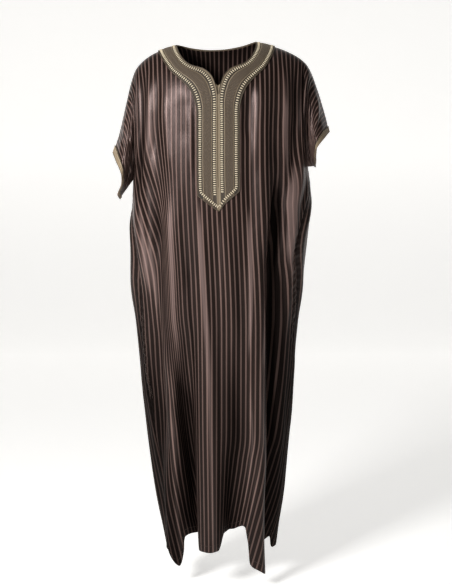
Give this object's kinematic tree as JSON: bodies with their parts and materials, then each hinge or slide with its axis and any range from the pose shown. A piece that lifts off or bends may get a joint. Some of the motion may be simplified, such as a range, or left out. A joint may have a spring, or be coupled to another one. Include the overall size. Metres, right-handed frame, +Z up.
{
  "type": "short-sleeved djellaba",
  "caption": "Ankle-length, short-sleeved robe of striped brown satin with an embroidered neck band and pointed placket, shown worn and hollow.",
  "frame": {"origin": "between the shoulders, at the height of the neck points, midway from front to back", "axes": "+Z up along the wearer, -Y the way the front faces, +X to the right of someone looking at the front"},
  "size_m": [0.5702, 0.2658, 1.3802],
  "materials": {
    "striped_satin": "satin",
    "embroidered_band": "matt",
    "cream_braid": "matt"
  },
  "bodies": {
    "root": {"front": "striped_satin", "back": "striped_satin", "front_band": "embroidered_band", "back_band": "embroidered_band", "braid_inner_left": "cream_braid", "braid_outer_left": "cream_braid", "sleeve_left": "striped_satin", "cuff_band_left": "embroidered_band", "braid_inner_right": "cream_braid", "braid_outer_right": "cream_braid", "sleeve_right": "striped_satin", "cuff_band_right": "embroidered_band"}
  },
  "joints": []
}
